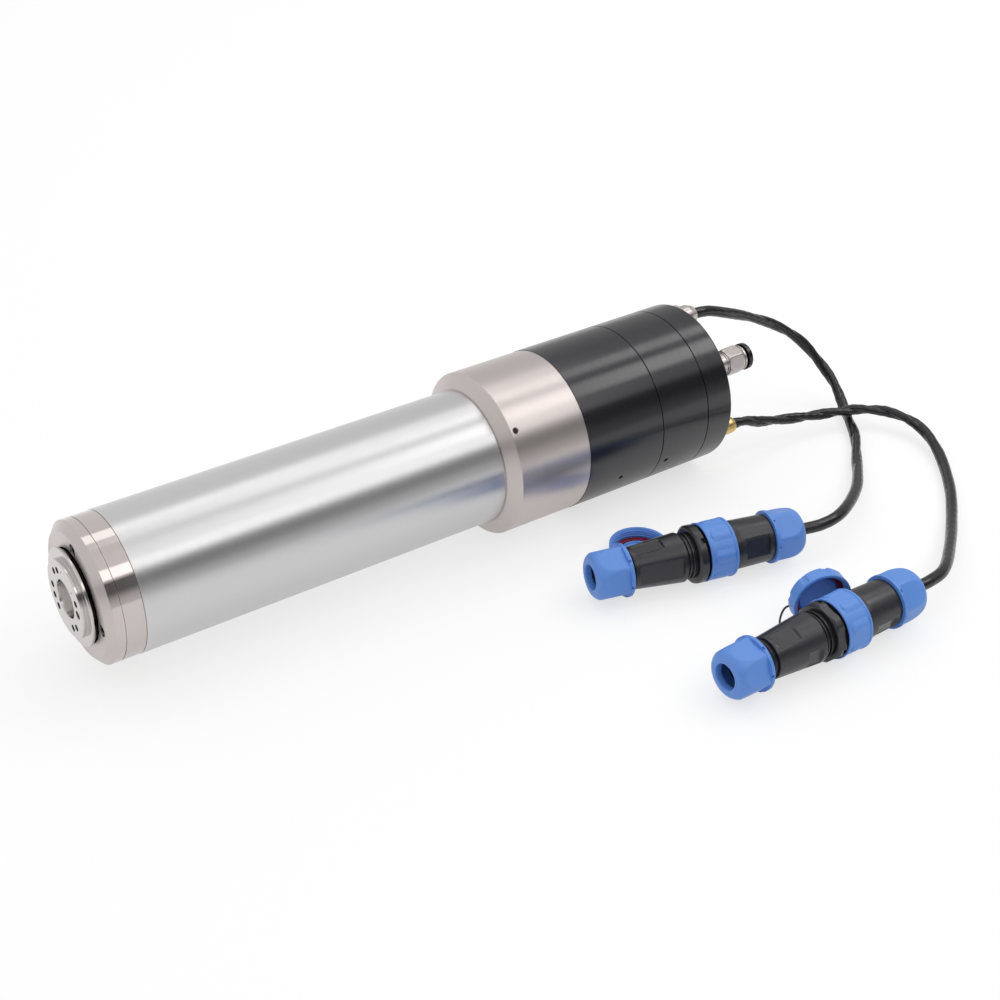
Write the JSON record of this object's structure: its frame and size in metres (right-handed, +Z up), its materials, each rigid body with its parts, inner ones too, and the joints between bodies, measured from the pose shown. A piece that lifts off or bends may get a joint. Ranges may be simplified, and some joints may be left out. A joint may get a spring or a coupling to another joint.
{
  "type": "motor spindle",
  "caption": "Tool-change motor spindle: steel sleeve body, taper nose, air release section, push-in air fitting and corded in-line plugs with dust caps.",
  "frame": {"origin": "centre of the tool taper's gauge circle, on the spindle's axis, 1.8 mm behind the rotor's front face", "axes": "+X along the spindle's axis from the tool end to the rear ports, +Z up with the spindle lying on a table, +Y to the left seen from the rear of the nose looking along +X"},
  "size_m": [0.549, 0.28, 0.0985],
  "materials": {
    "ground_steel": "ground and polished",
    "rotor_steel": "turned and ground",
    "bearing_steel": "polished bearing steel",
    "spring_steel": "oiled spring steel",
    "nickel_plate": "warm satin nickel plate",
    "lamination_steel": "stacked electrical sheet",
    "copper_winding": "enamelled copper",
    "machined_aluminium": "turned",
    "black_anodised": "satin black anodised",
    "black_oxide_steel": "black oxide",
    "gold_contact": "gold-plated contacts",
    "brass_part": "turned brass",
    "blue_plastic": "moulded blue nylon",
    "black_plastic": "moulded black nylon",
    "black_release": "polished black acetal",
    "seal_rubber": "soft rubber",
    "red_rubber": "red silicone rubber",
    "cable_jacket": "black sleeve"
  },
  "bodies": {
    "housing": {"nose_cap": "nickel_plate", "cap_screws": "black_oxide_steel", "front_bearing_housing": "nickel_plate", "front_outer_rings": "bearing_steel", "body_sleeve": "ground_steel", "stator_core": "lamination_steel", "stator_windings": "copper_winding", "rear_bearing_housing": "machined_aluminium", "rear_outer_rings": "bearing_steel", "rear_bearing_cover": "machined_aluminium", "collar": "nickel_plate", "cylinder_housing": "black_anodised", "return_spring": "spring_steel", "sensor_housing": "black_anodised", "position_sensors": "brass_part", "rear_cap": "black_anodised", "rear_screws": "black_oxide_steel", "air_fitting": "nickel_plate", "fitting_collet": "spring_steel", "gland_a": "nickel_plate", "gland_b": "brass_part", "cable_a": "cable_jacket", "cable_b": "cable_jacket", "plug_a_body": "black_plastic", "plug_a_nut": "blue_plastic", "plug_a_seal": "seal_rubber", "plug_b_body": "black_plastic", "plug_b_nut": "blue_plastic", "plug_b_seal": "seal_rubber"},
    "rotor": {"spindle_shaft": "rotor_steel", "rotor_core": "lamination_steel", "front_inner_rings": "bearing_steel", "rear_inner_rings": "bearing_steel", "preload_nut": "black_oxide_steel", "sensor_ring": "black_oxide_steel", "disc_springs": "spring_steel"},
    "front_balls": {"front_ball_sets": "bearing_steel"},
    "rear_balls": {"rear_ball_sets": "bearing_steel"},
    "drawbar": {"drawbar": "rotor_steel", "gripper": "spring_steel"},
    "piston": {"piston": "machined_aluminium", "piston_seal": "seal_rubber"},
    "release_ring": {"release_ring": "black_release"},
    "coupling_ring_a": {"coupling_ring_a": "blue_plastic"},
    "coupling_ring_b": {"coupling_ring_b": "blue_plastic"},
    "socket_a": {"socket_a_body": "black_plastic", "socket_a_pins": "gold_contact", "socket_a_seal": "seal_rubber"},
    "socket_b": {"socket_b_body": "black_plastic", "socket_b_pins": "gold_contact", "socket_b_seal": "seal_rubber"},
    "gland_nut_a": {"socket_a_nut": "blue_plastic"},
    "gland_nut_b": {"socket_b_nut": "blue_plastic"},
    "dust_cap_a": {"dust_cap_a": "blue_plastic", "cap_gasket_a": "red_rubber"},
    "dust_cap_b": {"dust_cap_b": "blue_plastic", "cap_gasket_b": "red_rubber", "cap_lanyard_b": "black_plastic"}
  },
  "joints": [
    {"name": "rotor_spin", "type": "hinge", "parent": "housing", "child": "rotor", "pos_m": [0, 0, 0], "axis": [1, 0, 0], "continuous": true},
    {"name": "front_balls_orbit", "type": "hinge", "parent": "housing", "child": "front_balls", "pos_m": [0.04, 0, 0], "axis": [1, 0, 0], "continuous": true},
    {"name": "rear_balls_orbit", "type": "hinge", "parent": "housing", "child": "rear_balls", "pos_m": [0.236, 0, 0], "axis": [1, 0, 0], "continuous": true},
    {"name": "drawbar_slide", "type": "slide", "parent": "rotor", "child": "drawbar", "axis": [1, 0, 0], "range_m": [-0.0051, 0], "deforming": ["disc_springs"]},
    {"name": "piston_slide", "type": "slide", "parent": "housing", "child": "piston", "axis": [1, 0, 0], "range_m": [-0.006, 0], "stiffness_N_per_m": 4000, "springref_m": 0.004, "deforming": ["return_spring"]},
    {"name": "release_ring_slide", "type": "slide", "parent": "housing", "child": "release_ring", "axis": [1, 0, 0], "range_m": [-0.001, 0], "stiffness_N_per_m": 600, "springref_m": 0.002},
    {"name": "coupling_ring_a_turn", "type": "hinge", "parent": "housing", "child": "coupling_ring_a", "pos_m": [0.33455, -0.12092, -0.03175], "axis": [0.9732, -0.23, 0], "continuous": true},
    {"name": "coupling_ring_b_turn", "type": "hinge", "parent": "housing", "child": "coupling_ring_b", "pos_m": [0.344, -0.2133, -0.03175], "axis": [1, 0, 0], "continuous": true},
    {"name": "socket_a_pull", "type": "slide", "parent": "housing", "child": "socket_a", "axis": [-0.9732, 0.23, 0], "range_m": [0, 0.03]},
    {"name": "socket_b_pull", "type": "slide", "parent": "housing", "child": "socket_b", "axis": [-1, 0, 0], "range_m": [0, 0.03]},
    {"name": "gland_nut_a_turn", "type": "hinge", "parent": "socket_a", "child": "gland_nut_a", "pos_m": [0.27227, -0.1062, -0.03175], "axis": [-0.9732, 0.23, 0], "continuous": true},
    {"name": "gland_nut_b_turn", "type": "hinge", "parent": "socket_b", "child": "gland_nut_b", "pos_m": [0.276, -0.2133, -0.03175], "axis": [-1, 0, 0], "continuous": true},
    {"name": "dust_cap_a_swing", "type": "hinge", "parent": "housing", "child": "dust_cap_a", "pos_m": [0.3234, -0.1029, -0.043], "axis": [0, 0, 1], "range_deg": [-35, 0]},
    {"name": "dust_cap_b_swing", "type": "hinge", "parent": "housing", "child": "dust_cap_b", "pos_m": [0.329, -0.1985, -0.042], "axis": [0, 0, 1], "range_deg": [0, 40]}
  ],
  "couplings": [
    {"joint": "front_balls_orbit", "follows": "rotor_spin", "ratio": 0.414},
    {"joint": "rear_balls_orbit", "follows": "rotor_spin", "ratio": 0.405},
    {"joint": "drawbar_slide", "follows": "piston_slide", "ratio": 0.85}
  ]
}
